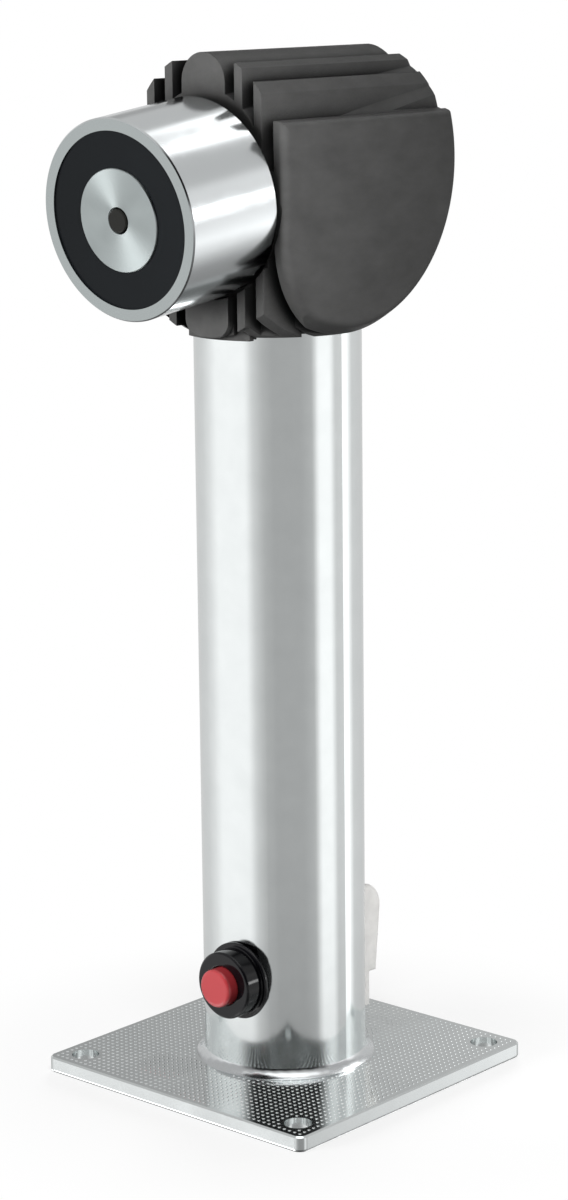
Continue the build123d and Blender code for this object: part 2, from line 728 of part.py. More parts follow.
# Saddle: fits the column's bore in front and gives the switch box a flat seat behind
with BuildPart() as switch_saddle:
    with BuildSketch(Plane.XZ.offset(switch_shoulder)):
        with Locations((button_offset, button_height)):
            RectangleRounded(saddle_side, saddle_side, cover_edge_radius)
            Circle(barrel_radius + fit_gap, mode=Mode.SUBTRACT)
    extrude(amount=column_radius)
    with BuildSketch(Plane.XY):
        Circle(column_bore_radius - fit_gap)
    extrude(amount=ball_height, mode=Mode.INTERSECT)
save(switch_saddle.part, "switch_saddle")

# Two tab terminals at the back of the switch
switch_back = switch_depth - switch_shoulder
with BuildPart() as switch_terminals:
    with BuildSketch(Plane.XZ.offset(-switch_back)):
        with Locations((button_offset, button_height)):
            with GridLocations(0, terminal_pitch, 1, 2):
                Rectangle(terminal_width, terminal_thickness)
    extrude(amount=-terminal_length)
    with BuildSketch(Plane.XY):
        with Locations((button_offset, switch_back + tab_hole_reach)):
            Circle(tab_hole_diameter / 2)
    extrude(amount=ball_height, mode=Mode.SUBTRACT)
save(switch_terminals.part, "switch_terminals")

# Button cap, with the collar that keeps it in and the stem that works the switch
with BuildPart() as button_cap:
    with BuildSketch(Plane.XZ.offset(collar_rest - collar_thickness)):
        with Locations((button_offset, button_height)):
            Circle(cap_radius)
    extrude(amount=bezel_front + cap_proud - collar_rest + collar_thickness)
    fillet(button_cap.edges().group_by(Axis.Y)[0], cap_edge_radius)
    with BuildSketch(Plane.XZ.offset(collar_rest - collar_thickness)):
        with Locations((button_offset, button_height)):
            Circle(collar_diameter / 2)
    extrude(amount=collar_thickness)
    with BuildSketch(Plane.XZ.offset(collar_rest - collar_thickness)):
        with Locations((button_offset, button_height)):
            Circle(stem_diameter / 2)
    extrude(amount=-stem_length)
save(button_cap.part, "button_cap")

# Return spring round the stem, from the barrel's floor to the collar
with BuildPart() as button_spring:
    floor = switch_shoulder + barrel_floor
    free_length = collar_rest - collar_thickness - floor
    coil_length = free_length - 2 * button_spring_wire
    coil_radius = (stem_diameter / 2 + barrel_bore_radius) / 2
    with BuildLine() as return_coil:
        Helix(coil_length / button_spring_turns, coil_length, coil_radius,
              center=(button_offset, -floor - button_spring_wire, button_height), direction=(0, -1, 0))
    with BuildSketch(Plane(origin=return_coil.line @ 0, z_dir=return_coil.line % 0)):
        RegularPolygon(button_spring_wire / 2, 6)
    sweep()
save(button_spring.part, "button_spring")

# Terminal bracket: a flat plate across the column's bore, welded along its two edges
bracket_front = bracket_face - bracket_thickness
bracket_half = sqrt((column_bore_radius - fit_gap) ** 2 - bracket_face**2)
with BuildPart() as terminal_bracket:
    with BuildSketch(Plane.XZ.offset(-bracket_front)):
        with Locations((0, (bracket_low + bracket_high) / 2)):
            Rectangle(bracket_half * 2, bracket_high - bracket_low)
    extrude(amount=-bracket_thickness)
save(terminal_bracket.part, "terminal_bracket")

# Terminal block with its clamping screws, reached through the window
block_back = bracket_face + block_depth
window_middle = (window_low + window_high) / 2
with BuildPart() as terminal_block:
    with BuildSketch(Plane.XZ.offset(-bracket_face)):
        with Locations((0, window_middle)):
            Rectangle(block_width, block_height)
    extrude(amount=-block_depth)
    chamfer(terminal_block.faces().sort_by(Axis.Y)[-1].edges(), bezel_bevel)
    with BuildSketch(Plane.XZ.offset(-block_back)):
        with Locations((0, window_middle)):
            with GridLocations(0, pole_pitch, 1, pole_count):
                Circle(terminal_screw_diameter / 2 + fit_gap)
    extrude(amount=terminal_screw_well, mode=Mode.SUBTRACT)
    with BuildSketch(Plane.YZ.offset(-block_width / 2)):
        with Locations((bracket_face + wire_hole_reach, window_middle)):
            with GridLocations(0, pole_pitch, 1, pole_count):
                Circle(wire_hole_diameter / 2)
    extrude(amount=block_width, mode=Mode.SUBTRACT)
save(terminal_block.part, "terminal_block")

screw_head_back = block_back - terminal_screw_sunk
with BuildPart() as terminal_screws:
    with BuildSketch(Plane.XZ.offset(-screw_head_back)):
        with Locations((0, window_middle)):
            with GridLocations(0, pole_pitch, 1, pole_count):
                Circle(terminal_screw_diameter / 2)
    extrude(amount=terminal_screw_well - terminal_screw_sunk)
    with BuildSketch(Plane.XZ.offset(-screw_head_back)):
        with Locations((0, window_middle)):
            with GridLocations(0, pole_pitch, 1, pole_count):
                Rectangle(terminal_screw_diameter * 2, terminal_screw_slot)
    extrude(amount=terminal_screw_slot, mode=Mode.SUBTRACT)
save(terminal_screws.part, "terminal_screws")

# Rear cover: a hollow moulding over the window, with a tongue below that takes its screw
with BuildPart() as rear_cover:
    with BuildSketch(Plane.YZ):
        with BuildLine():
            shoulder = cover_high - cover_top_radius
            Polyline((0, tongue_low), (tongue_face, tongue_low), (tongue_face, cover_low),
                     (cover_depth_low, cover_low), (cover_depth_high, shoulder))
            RadiusArc((cover_depth_high, shoulder), (cover_depth_high - cover_top_radius, cover_high),
                      -cover_top_radius)
            Polyline((cover_depth_high - cover_top_radius, cover_high), (0, cover_high), (0, tongue_low))
        make_face()
    extrude(amount=cover_width / 2, both=True)
    rear_faces = rear_cover.faces().filter_by(Axis.X)
    fillet(rear_faces.edges().filter_by(lambda edge: edge.center().Y > tongue_face), cover_side_radius)
    with BuildSketch(Plane.XY):
        Circle(column_radius + fit_gap)
    extrude(amount=ball_height, mode=Mode.SUBTRACT)
    with BuildSketch(Plane.XY.offset(tongue_low)):
        with Locations((0, -cover_width)):
            Rectangle(cover_width * 2, cover_width * 2)
    extrude(amount=cover_high, mode=Mode.SUBTRACT)
    with BuildSketch(Plane.YZ):
        with BuildLine():
            inner_depth = cover_depth_low - cover_wall
            Polyline((0, cover_low + cover_wall), (inner_depth, cover_low + cover_wall),
                     (cover_depth_high - cover_wall, shoulder))
            RadiusArc((cover_depth_high - cover_wall, shoulder),
                      (cover_depth_high - cover_top_radius, cover_high - cover_wall),
                      cover_wall - cover_top_radius)
            Polyline((cover_depth_high - cover_top_radius, cover_high - cover_wall),
                     (0, cover_high - cover_wall), (0, cover_low + cover_wall))
        make_face()
    extrude(amount=cover_width / 2 - cover_wall, both=True, mode=Mode.SUBTRACT)
    with BuildSketch(Plane.XZ.offset(-tongue_face)):
        with Locations((0, cover_screw_height)):
            Circle(cover_screw_diameter / 2 + fit_gap)
    extrude(amount=tongue_face, mode=Mode.SUBTRACT)
save(rear_cover.part, "rear_cover")

# Cover screw: a low round head on the tongue, its shank through the column's wall
with BuildPart() as cover_screw:
    with BuildSketch(Plane.XZ.offset(-tongue_face)):
        with Locations((0, cover_screw_height)):
            Circle(cover_screw_head / 2)
    extrude(amount=-cover_screw_head_height)
    fillet(cover_screw.edges().group_by(Axis.Y)[-1], cover_screw_head_height / 2)
    with BuildSketch(Plane.XZ.offset(-tongue_face)):
        with Locations((0, cover_screw_height)):
            Circle(cover_screw_diameter / 2 - fit_gap)
    extrude(amount=cover_screw_length)
    with BuildSketch(Plane.XZ.offset(-tongue_face - cover_screw_head_height)):
        with Locations((0, cover_screw_height)):
            RegularPolygon(cover_screw_socket / 2, 6)
    extrude(amount=cover_screw_head_height, mode=Mode.SUBTRACT)
save(cover_screw.part, "cover_screw")
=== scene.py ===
# %% [markdown]
# An electromagnetic door holder stands on the floor beside a door. The door's steel plate meets
# the round magnet, and the magnet lets go when its current stops or when someone presses the red
# button. This notebook dresses the exact CAD pieces: it lights them like a product on a white
# sweep, gives each piece the finish of the real one, and adds the fine forms that are too small
# for the construction model.

# %% Load the construction model
import json
from math import atan2, cos, hypot, pi, radians, sin
import bmesh
import bpy
from mathutils import Matrix, Vector


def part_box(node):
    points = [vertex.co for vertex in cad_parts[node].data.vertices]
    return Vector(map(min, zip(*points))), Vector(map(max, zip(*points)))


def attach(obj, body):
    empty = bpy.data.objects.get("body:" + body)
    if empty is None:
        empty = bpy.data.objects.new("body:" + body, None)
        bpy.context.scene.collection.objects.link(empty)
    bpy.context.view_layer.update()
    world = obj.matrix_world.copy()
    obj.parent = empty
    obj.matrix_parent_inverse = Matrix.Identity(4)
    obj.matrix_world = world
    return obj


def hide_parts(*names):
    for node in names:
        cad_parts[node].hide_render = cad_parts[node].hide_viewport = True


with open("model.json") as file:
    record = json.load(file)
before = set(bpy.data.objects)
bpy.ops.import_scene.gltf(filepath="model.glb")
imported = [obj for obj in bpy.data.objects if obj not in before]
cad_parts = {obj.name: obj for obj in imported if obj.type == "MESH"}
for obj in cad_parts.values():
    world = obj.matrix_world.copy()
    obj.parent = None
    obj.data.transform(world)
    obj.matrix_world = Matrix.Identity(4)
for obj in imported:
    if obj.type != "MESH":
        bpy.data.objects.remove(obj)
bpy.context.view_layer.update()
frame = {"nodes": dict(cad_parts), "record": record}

nodes = frame["nodes"]
scene = bpy.context.scene
scene.view_settings.view_transform = "Standard"
MM = 0.001

# %% [markdown]
# The camera decides whether the picture can be set against the photograph, so it comes first.
# The photograph was taken from the magnet's side, turned to the right and a little from above,
# with a long lens. Turning the camera about a point on the column keeps these angles readable.

# %% Camera at the photograph's angle
camera_azimuth = radians(41.77)
camera_pitch = radians(12.15)
camera_roll = radians(-0.62)
camera_distance = 0.92763
camera_lens_mm = 92.13
camera_target = Vector((0.00107, 0.00040, 0.14808))

camera = bpy.data.objects.new("camera", bpy.data.cameras.new("camera"))
scene.collection.objects.link(camera)
scene.camera = camera
camera.data.lens = camera_lens_mm
camera_back = Vector((sin(camera_azimuth) * cos(camera_pitch),
                      -cos(camera_azimuth) * cos(camera_pitch), sin(camera_pitch)))
camera_turn = (Matrix.Rotation(camera_azimuth, 4, "Z") @ Matrix.Rotation(pi / 2 - camera_pitch, 4, "X")
               @ Matrix.Rotation(camera_roll, 4, "Z"))
camera.matrix_world = Matrix.Translation(camera_target + camera_back * camera_distance) @ camera_turn
camera.data.clip_start = 0.01
camera.data.clip_end = 50
print("camera at", [round(v, 4) for v in camera.matrix_world.translation])


# %% [markdown]
# Node trees are wiring, and four small helpers keep the wiring short. One adds a node and sets
# its sockets, one does a sum, one makes a soft step between two limits, and one turns a list of
# stops into greys.

# %% Helpers for node trees
def add_node(tree, kind, settings=None, **sockets):
    """A new node. Settings are its properties. Sockets go by their names, or by number as i0, i1."""
    node = tree.nodes.new(kind)
    for name, value in (settings or {}).items():
        setattr(node, name, value)
    for name, value in sockets.items():
        numbered = name[0] == "i" and name[1:].isdigit()
        socket = node.inputs[int(name[1:]) if numbered else name.replace("_", " ")]
        if isinstance(value, bpy.types.NodeSocket):
            tree.links.new(value, socket)
        else:
            socket.default_value = value
    return node


def sum_node(tree, operation, first, second=0.0, third=0.0):
    """The result of a Math node."""
    return add_node(tree, "ShaderNodeMath", {"operation": operation},
                    i0=first, i1=second, i2=third).outputs[0]


def soft_step(tree, value, start, end):
    """0 before start, 1 after end, and a smooth rise between them."""
    return add_node(tree, "ShaderNodeMapRange", {"interpolation_type": "SMOOTHSTEP"},
                    Value=value, From_Min=start, From_Max=end).outputs["Result"]


def ramp(tree, value, stops):
    """A grey ramp through (place, grey) stops."""
    node = add_node(tree, "ShaderNodeValToRGB", Fac=value)
    elements = node.color_ramp.elements
    while len(elements) > 1:
        elements.remove(elements[-1])
    for number, (place, grey) in enumerate(stops):
        element = elements[0] if number == 0 else elements.new(place)
        element.position = place
        element.color = (grey, grey, grey, 1)
    return node.outputs["Color"]


# %% [markdown]
# Polished metal has no colour of its own to show: it shows the room. In the photograph the tube
# carries upright white bands with grey between them, which are the soft boxes and the gaps of a
# studio. A world that is white for the camera, and shows these bands to reflections, paints the
# metal from every side without filling the room with objects. The magnet lies down, so it mirrors
# the room from the floor to the ceiling, and there the bands are not enough. Soft-edged cards are
# laid over them: a bright ceiling and a dark card round the camera, a grey one behind, a low one
# that the turned pole spreads into two fans, and a bright patch for the pot. A few small glints
# give the gloss of the button its points of light. The plastic gets only a faint even light from
# this world, because the lamps below light it.

# %% Studio world
# All angles here are degrees. Azimuths count from the camera's side, towards its right. The
# strengths of the bands reach band_limit, because a ramp itself ends at 1.
band_stops = [(-180, 0.70), (-152, 0.68), (-128, 0.74), (-112, 0.88), (-95, 1.12), (-47, 1.12),
              (-36, 0.76), (-23, 0.56), (-8, 0.46), (30, 0.46), (47, 0.54), (57, 1.2), (75, 1.2),
              (84, 0.70), (94, 0.74), (99, 1.15), (102, 1.2), (104, 1.7), (107, 1.7), (109, 1.2),
              (111, 1.15), (119, 0.74), (150, 0.66), (180, 0.70)]
height_stops = [(-90, 0.10), (-60, 0.15), (-42, 0.34), (-30, 0.52), (-23, 0.62), (-18, 1.0),
                (90, 1.0)]
band_limit = 1.7
# Above the bands the wall is plain: its strength, and where it starts and is reached.
upper_wall, upper_wall_start, upper_wall_end = 0.55, 18, 27
# Azimuth and elevation of the middle, where the full strength and the soft edge end sideways,
# where they end up and down, and the strength.
cards = {
    "ceiling": (0, 75, (60, 115), (12, 20), 1.8),
    "front": (0, 22, (46, 74), (16, 26), 0.02),
    "back": (-168, 20, (6, 24), (3, 9), 0.36),
    "fans": (-85, -40, (10, 20), (8, 18), 5.0),
    "patch": (138, 43, (13, 25), (4, 10), 3.0),
}
# Azimuth, elevation, reach and strength.
glints = [(90, 3, 3, 9.0), (135, 46, 3, 9.0), (170, -34, 4, 4.0), (-145, -32, 6, 6.0)]
glint_full, glint_end = 0.5, 1.5
ambient_strength = 0.09
backdrop_strength = 1.0
world = bpy.data.worlds.new("studio")
scene.world = world
world.use_nodes = True
tree = world.node_tree
tree.nodes.clear()
direction = add_node(tree, "ShaderNodeSeparateXYZ",
                     Vector=add_node(tree, "ShaderNodeTexCoord").outputs["Generated"])
backwards = sum_node(tree, "MULTIPLY", direction.outputs["Y"], -1.0)
azimuth = sum_node(tree, "ARCTAN2", direction.outputs["X"], backwards)
turned = sum_node(tree, "SUBTRACT", azimuth, camera_azimuth)
# The ramp's middle is the camera's side: half a turn is added, and a whole one keeps it above 0.
around = sum_node(tree, "FRACT", sum_node(tree, "MULTIPLY_ADD", turned, 1 / (2 * pi), 1.5))
elevation = sum_node(tree, "ARCSINE", direction.outputs["Z"])
bands = ramp(tree, around, [((angle + 180) / 360, grey / band_limit) for angle, grey in band_stops])
upright = sum_node(tree, "MULTIPLY_ADD", elevation, 1 / pi, 0.5)
dimming = ramp(tree, upright, [((angle + 90) / 180, grey) for angle, grey in height_stops])
banded = sum_node(tree, "MULTIPLY", sum_node(tree, "MULTIPLY", bands, band_limit), dimming)


def card(azimuth_deg, elevation_deg, width_ends, height_ends):
    """1 inside a soft-edged card on the studio's wall, and 0 outside it."""
    outside = []
    for value, middle, (full_end, soft_end) in ((turned, azimuth_deg, width_ends),
                                                (elevation, elevation_deg, height_ends)):
        off_middle = sum_node(tree, "SUBTRACT", value, radians(middle))
        wrapped = sum_node(tree, "ABSOLUTE", sum_node(tree, "WRAP", off_middle, pi, -pi))
        outside.append(soft_step(tree, wrapped, radians(full_end), radians(soft_end)))
    in_width, in_height = (sum_node(tree, "SUBTRACT", 1.0, share) for share in outside)
    return sum_node(tree, "MULTIPLY", in_width, in_height)


def layer(amount, under, over):
    """One brightness over another, by an amount from 0 to 1."""
    return add_node(tree, "ShaderNodeMix", {"data_type": "FLOAT"},
                    Factor=amount, A=under, B=over).outputs[0]


above_wall = soft_step(tree, elevation, radians(upper_wall_start), radians(upper_wall_end))
studio = layer(above_wall, banded, upper_wall)
for card_azimuth, card_elevation, width_ends, height_ends, strength in cards.values():
    studio = layer(card(card_azimuth, card_elevation, width_ends, height_ends), studio, strength)
for glint_azimuth, glint_elevation, reach, strength in glints:
    ends = (reach * glint_full, reach * glint_end)
    studio = layer(card(glint_azimuth, glint_elevation, ends, ends), studio, strength)
path = add_node(tree, "ShaderNodeLightPath")
mirrored = sum_node(tree, "MAXIMUM", path.outputs["Is Glossy Ray"],
                    path.outputs["Is Transmission Ray"])
unseen = layer(mirrored, ambient_strength, studio)
shown = layer(path.outputs["Is Camera Ray"], unseen, backdrop_strength)
background = add_node(tree, "ShaderNodeBackground", Color=(1, 1, 1, 1), Strength=shown)
tree.links.new(background.outputs[0], add_node(tree, "ShaderNodeOutputWorld").inputs["Surface"])
print("studio bands:", len(band_stops), "cards:", len(cards), "glints:", len(glints))

# %% [markdown]
# The floor is a large pale disc. It takes the soft shadow that ties the holder to the ground, and
# for the camera it fades to the white of the backdrop a little way off, so no horizon shows.
# Mirror rays pass through it, so the metal's bands run down to the weld as they do in the photo.

# %% Floor
floor_radius = 6.0
floor_sides = 96
floor_bmesh = bmesh.new()
bmesh.ops.create_circle(floor_bmesh, cap_ends=True, radius=floor_radius, segments=floor_sides)
floor_mesh = bpy.data.meshes.new("floor")
floor_bmesh.to_mesh(floor_mesh)
floor_bmesh.free()
floor = bpy.data.objects.new("floor", floor_mesh)
scene.collection.objects.link(floor)
floor.visible_glossy = False

floor_paint = bpy.data.materials.new("pale_floor")
floor_paint.use_nodes = True
tree = floor_paint.node_tree
tree.nodes.clear()
fade_start, fade_end = 0.06, 0.13
least_fade = 0.75
floor_grey = 0.40
paler_for_camera = 0.55
away_from_holder = add_node(tree, "ShaderNodeVectorMath", {"operation": "LENGTH"},
                            Vector=add_node(tree, "ShaderNodeTexCoord").outputs["Object"]).outputs["Value"]
camera_ray = add_node(tree, "ShaderNodeLightPath").outputs["Is Camera Ray"]
faded = soft_step(tree, away_from_holder, fade_start, fade_end)
fade_share = sum_node(tree, "MULTIPLY_ADD", faded, 1 - least_fade, least_fade)
fade = sum_node(tree, "MULTIPLY", fade_share, camera_ray)
paleness = sum_node(tree, "MULTIPLY_ADD", camera_ray, paler_for_camera, floor_grey)
matte = add_node(tree, "ShaderNodeBsdfDiffuse", Color=paleness)
lift = add_node(tree, "ShaderNodeEmission", Color=(1, 1, 1, 1), Strength=1.0)
both = add_node(tree, "ShaderNodeMixShader", Fac=fade)
tree.links.new(matte.outputs[0], both.inputs[1])
tree.links.new(lift.outputs[0], both.inputs[2])
tree.links.new(both.outputs[0], add_node(tree, "ShaderNodeOutputMaterial").inputs["Surface"])
floor_mesh.materials.append(floor_paint)
print("floor radius", floor_radius, "m")


# %% [markdown]
# Soft boxes light the plastic and the floor. The key stands to the left of the magnet, a small box
# near the head lights its side, another one low on the right lights the rear cover, one behind
# keeps the back from going dark, and a large one hangs above. The metal already sees its bands in
# the world, so the boxes are hidden from mirror rays.

# %% Soft boxes
holder_middle = Vector((0, 0, 0.15))


def soft_box(name, azimuth_deg, elevation_deg, distance, size, energy):
    """A square lamp that faces the middle of the holder. Its azimuth counts from the front, -Y."""
    angle, height = radians(azimuth_deg), radians(elevation_deg)
    away = Vector((sin(angle) * cos(height), -cos(angle) * cos(height), sin(height)))
    lamp = bpy.data.objects.new(name, bpy.data.lights.new(name, "AREA"))
    lamp.data.shape = "SQUARE"
    lamp.data.size = size
    lamp.data.energy = energy
    lamp.matrix_world = (Matrix.Translation(holder_middle + away * distance)
                         @ away.to_track_quat("Z", "Y").to_matrix().to_4x4())
    lamp.visible_camera = False
    lamp.visible_glossy = False
    scene.collection.objects.link(lamp)


soft_box("key_box", azimuth_deg=-20, elevation_deg=6, distance=1.5, size=0.6, energy=26.5)
soft_box("head_box", azimuth_deg=48, elevation_deg=42, distance=0.25, size=0.08, energy=0.48)
soft_box("cover_box", azimuth_deg=116, elevation_deg=-42, distance=0.18, size=0.05, energy=0.075)
soft_box("back_box", azimuth_deg=215, elevation_deg=12, distance=1.5, size=0.6, energy=18)
soft_box("top_box", azimuth_deg=20, elevation_deg=84, distance=1.5, size=1.2, energy=1.5)


# %% [markdown]
# Every finish here is one Principled shader, fed by a few textures that are measured in
# millimetres on the object itself. One helper makes the shader and hands back the tree, and the
# others add noise, bumps, rounded edges and colour, so that each finish below is only what makes
# it different from the others.

# %% Helpers for finishes
def finish(name, color, roughness, metallic=0.0, **sockets):
    """A material with one Principled shader, with its constants on the shader's own sockets."""
    material = bpy.data.materials.new(name)
    material.use_nodes = True
    tree = material.node_tree
    tree.nodes.clear()
    shader = add_node(tree, "ShaderNodeBsdfPrincipled", Base_Color=(*color, 1), Roughness=roughness,
                      Metallic=metallic, **sockets)
    tree.links.new(shader.outputs[0], add_node(tree, "ShaderNodeOutputMaterial").inputs["Surface"])
    return material, tree, shader


def noise(tree, size_mm, detail=3.0, stretch=(1, 1, 1), roughness=0.55):
    """Noise whose blobs are about size_mm wide, longer along an axis with a small stretch."""
    blobs_per_metre = 1000 / size_mm
    coordinates = add_node(tree, "ShaderNodeTexCoord").outputs["Object"]
    placed = add_node(tree, "ShaderNodeMapping", Vector=coordinates,
                      Scale=tuple(blobs_per_metre * share for share in stretch)).outputs[0]
    return add_node(tree, "ShaderNodeTexNoise", Vector=placed, Scale=1.0,
                    Detail=detail, Roughness=roughness).outputs["Fac"]


def between(tree, value, low, high, low_in=0.3, high_in=0.7):
    """A texture's value spread over a useful range."""
    return add_node(tree, "ShaderNodeMapRange", Value=value, From_Min=low_in, From_Max=high_in,
                    To_Min=low, To_Max=high).outputs["Result"]


def bump(tree, shader, height, depth_mm, strength, rounding_mm=0.0):
    """Raises the surface by a texture. With a rounding, edges shade as if they were rounded."""
    node = add_node(tree, "ShaderNodeBump", Height=height, Distance=depth_mm * MM, Strength=strength)
    if rounding_mm > 0:
        rounded = add_node(tree, "ShaderNodeBevel", {"samples": 6}, Radius=rounding_mm * MM)
        tree.links.new(rounded.outputs[0], node.inputs["Normal"])
    tree.links.new(node.outputs[0], shader.inputs["Normal"])


def shade_mix(tree, shader, factor, dark, light):
    """Colours the surface from dark to light by a factor from 0 to 1."""
    mix = add_node(tree, "ShaderNodeMix", {"data_type": "RGBA"}, Factor=factor)
    mix_dark, mix_light = [socket for socket in mix.inputs if socket.type == "RGBA"]
    mix_dark.default_value = (*dark, 1)
    mix_light.default_value = (*light, 1)
    result = [socket for socket in mix.outputs if socket.type == "RGBA"][0]
    tree.links.new(result, shader.inputs["Base Color"])


# %% [markdown]
# Bright zinc plating is a thin, slightly blue metal skin. On the drawn tube it keeps faint upright
# streaks, and everywhere it has a cloudy unevenness that softens what it mirrors.

# %% Zinc plating
def zinc_plating(name, streak):
    """Plated steel; streak stretches its marks along Z, as on a drawn tube."""
    material, tree, shader = finish(name, (0.79, 0.82, 0.83), 0.16, 1.0)
    clouds = noise(tree, 14, 4.0)
    tree.links.new(between(tree, clouds, 0.10, 0.15), shader.inputs["Roughness"])
    tint = between(tree, noise(tree, 9, 5.0), 0.0, 1.0)
    shade_mix(tree, shader, tint, (0.77, 0.80, 0.80), (0.81, 0.84, 0.84))
    marks = noise(tree, 0.6, 3.0, stretch=(1, 1, streak))
    bump(tree, shader, marks, depth_mm=0.012, strength=0.35)
    return material


tube_zinc = zinc_plating("zinc_plated_tube", 0.02)
plate_zinc = zinc_plating("zinc_plated_plate", 1.0)
print("zinc:", tube_zinc.name, plate_zinc.name)


# %% [markdown]
# The magnet's pot is turned and polished, so it mirrors like chrome. Its pole faces are only
# turned: the cutter leaves rings that are too fine to see one by one, and together they pull each
# highlight into a fan. An anisotropic shader with a radial tangent does that without any rings.
# Where the pot's surface looks out along the magnet's axis, on its rim, its colour is darkened:
# painted shade that dims what the rim mirrors. The magnet hangs a little below level.

# %% Magnet steel
magnet_droop = radians(7.3)
polished_color = (0.80, 0.83, 0.84)
rim_painted_shade_color = (0.36, 0.39, 0.39)
polished, tree, shader = finish("polished_steel", polished_color, 0.12, 1.0)
tree.links.new(between(tree, noise(tree, 8, 4.0), 0.13, 0.18), shader.inputs["Roughness"])
facing = add_node(tree, "ShaderNodeVectorMath", {"operation": "DOT_PRODUCT"},
                  i0=add_node(tree, "ShaderNodeTexCoord").outputs["Normal"],
                  i1=(0, -cos(magnet_droop), -sin(magnet_droop))).outputs["Value"]
# Painted shade: the rim, which looks out along the magnet's axis, gets the darker colour.
shade_mix(tree, shader, soft_step(tree, facing, 0.90, 0.98), polished_color, rim_painted_shade_color)
bump(tree, shader, noise(tree, 11, 2.0, stretch=(1, 0.4, 1)), depth_mm=0.02, strength=0.25)

turned_steel, tree, shader = finish("turned_steel", (0.40, 0.44, 0.44), 0.32, 1.0, Anisotropic=0.9,
                                    Anisotropic_Rotation=0.25)
tangent = add_node(tree, "ShaderNodeTangent", {"direction_type": "RADIAL", "axis": "Y"})
tree.links.new(tangent.outputs[0], shader.inputs["Tangent"])
tree.links.new(between(tree, noise(tree, 5, 2.0), 0.30, 0.34), shader.inputs["Roughness"])
print("magnet steel:", polished.name, turned_steel.name)

# %% [markdown]
# The head is moulded in a tough dark plastic with a fine spark-eroded grain. Light catches the
# grain as many tiny points, so a small bump and a slightly mottled colour tell plastic from paint.
# Deep in the slots between the ribs the photograph is nearly black. The occlusion node finds the
# sheltered places there, and their colour is darkened as painted shade, for every view alike.

# %% Head plastic
head_plastic, tree, shader = finish("grained_head_plastic", (0.045, 0.045, 0.044), 0.55, 0.0,
                                    Specular_IOR_Level=0.15)
grain = noise(tree, 0.45, 3.0, roughness=0.6)
mottling = between(tree, noise(tree, 7, 5.0, stretch=(1, 0.5, 1), roughness=0.6), 0.70, 1.0)
slot_depth = 12 * MM
# Painted shade: where the occlusion node finds a slot, the colour goes towards the dark end.
openness = add_node(tree, "ShaderNodeAmbientOcclusion", {"samples": 8}, Distance=slot_depth).outputs["AO"]
clear_of_painted_shade = soft_step(tree, openness, 0.42, 0.92)
shade_mix(tree, shader, sum_node(tree, "MULTIPLY", mottling, clear_of_painted_shade),
          (0.006, 0.006, 0.006), (0.070, 0.070, 0.069))
tree.links.new(between(tree, grain, 0.48, 0.60), shader.inputs["Roughness"])
bump(tree, shader, grain, depth_mm=0.03, strength=0.35, rounding_mm=0.5)
print("head:", head_plastic.name)


# %% [markdown]
# The small parts share two plain recipes: a satin metal, and a moulding that serves for plastic,
# resin and rubber. Each gets its own colour and roughness, and a faint unevenness of the right
# size. The button's cap and its black nut also shade as if their edges were rounded.

# %% Plain metals, plastics and rubber
skin_strength = 0.3


def plain_metal(name, color, roughness, size_mm=2.0):
    """A machined or plated small part with light handling marks."""
    material, tree, shader = finish(name, color, roughness, 1.0)
    marks = noise(tree, size_mm, 4.0)
    tree.links.new(between(tree, marks, roughness * 0.8, roughness * 1.3), shader.inputs["Roughness"])
    bump(tree, shader, marks, depth_mm=0.015, strength=skin_strength)
    return material


def moulding(name, color, roughness, size_mm=1.2, depth_mm=0.015, rounding_mm=0.0, **sockets):
    """A moulded surface with slight orange peel and clouds four times its size."""
    material, tree, shader = finish(name, color, roughness, 0.0, **sockets)
    skin = noise(tree, size_mm, 3.0)
    uneven = between(tree, skin, roughness * 0.85, min(1.0, roughness * 1.2))
    tree.links.new(uneven, shader.inputs["Roughness"])
    darker = tuple(channel * 0.93 for channel in color)
    lighter = tuple(min(1.0, channel * 1.06) for channel in color)
    shade_mix(tree, shader, between(tree, noise(tree, size_mm * 4, 3.0), 0.0, 1.0), darker, lighter)
    bump(tree, shader, skin, depth_mm, skin_strength, rounding_mm)
    return material


finishes = {
    "zinc_plated_steel": tube_zinc,
    "polished_steel": polished,
    "turned_steel": turned_steel,
    "head_plastic": head_plastic,
    "plain_steel": plain_metal("plain_steel", (0.56, 0.57, 0.59), 0.3),
    "spring_steel": plain_metal("spring_steel", (0.42, 0.42, 0.44), 0.32, 1.0),
    "weld_metal": plain_metal("weld_metal", (0.68, 0.70, 0.71), 0.2, 8.0),
    "brass": plain_metal("brass", (0.78, 0.58, 0.27), 0.25),
    "copper_winding": plain_metal("copper_winding", (0.72, 0.32, 0.16), 0.35, 0.5),
    "black_plastic": moulding("black_plastic", (0.022, 0.022, 0.023), 0.42),
    "gloss_black_plastic": moulding("gloss_black_plastic", (0.003, 0.003, 0.004), 0.07, 6.0, 0.004, 0.6,
                                    Specular_IOR_Level=0.34),
    "potting_resin": moulding("potting_resin", (0.006, 0.007, 0.008), 0.36, 8.0, 0.03,
                              Specular_IOR_Level=0.06),
    "pin_plastic": moulding("pin_plastic", (0.008, 0.008, 0.007), 0.35, 0.8, 0.02,
                            Specular_IOR_Level=0.15),
    "red_plastic": moulding("red_plastic", (0.38, 0.035, 0.041), 0.13, 6.0, 0.006, 1.4),
    "white_plastic": moulding("white_plastic", (0.86, 0.85, 0.83), 0.35, 1.0),
    "light_grey_plastic": moulding("light_grey_plastic", (0.55, 0.56, 0.56), 0.45),
    "liner_plastic": moulding("liner_plastic", (0.42, 0.40, 0.34), 0.4),
    "rubber": moulding("rubber", (0.022, 0.022, 0.022), 0.75, 0.8, 0.05),
}
print("finishes:", len(finishes))

# %% [markdown]
# The construction model's record names a material slot for each node, and every slot has a finish
# by now. Only the floor plate departs from its slot: it is plated like the tube, but it isn't
# drawn, so it gets the plating without the upright streaks.

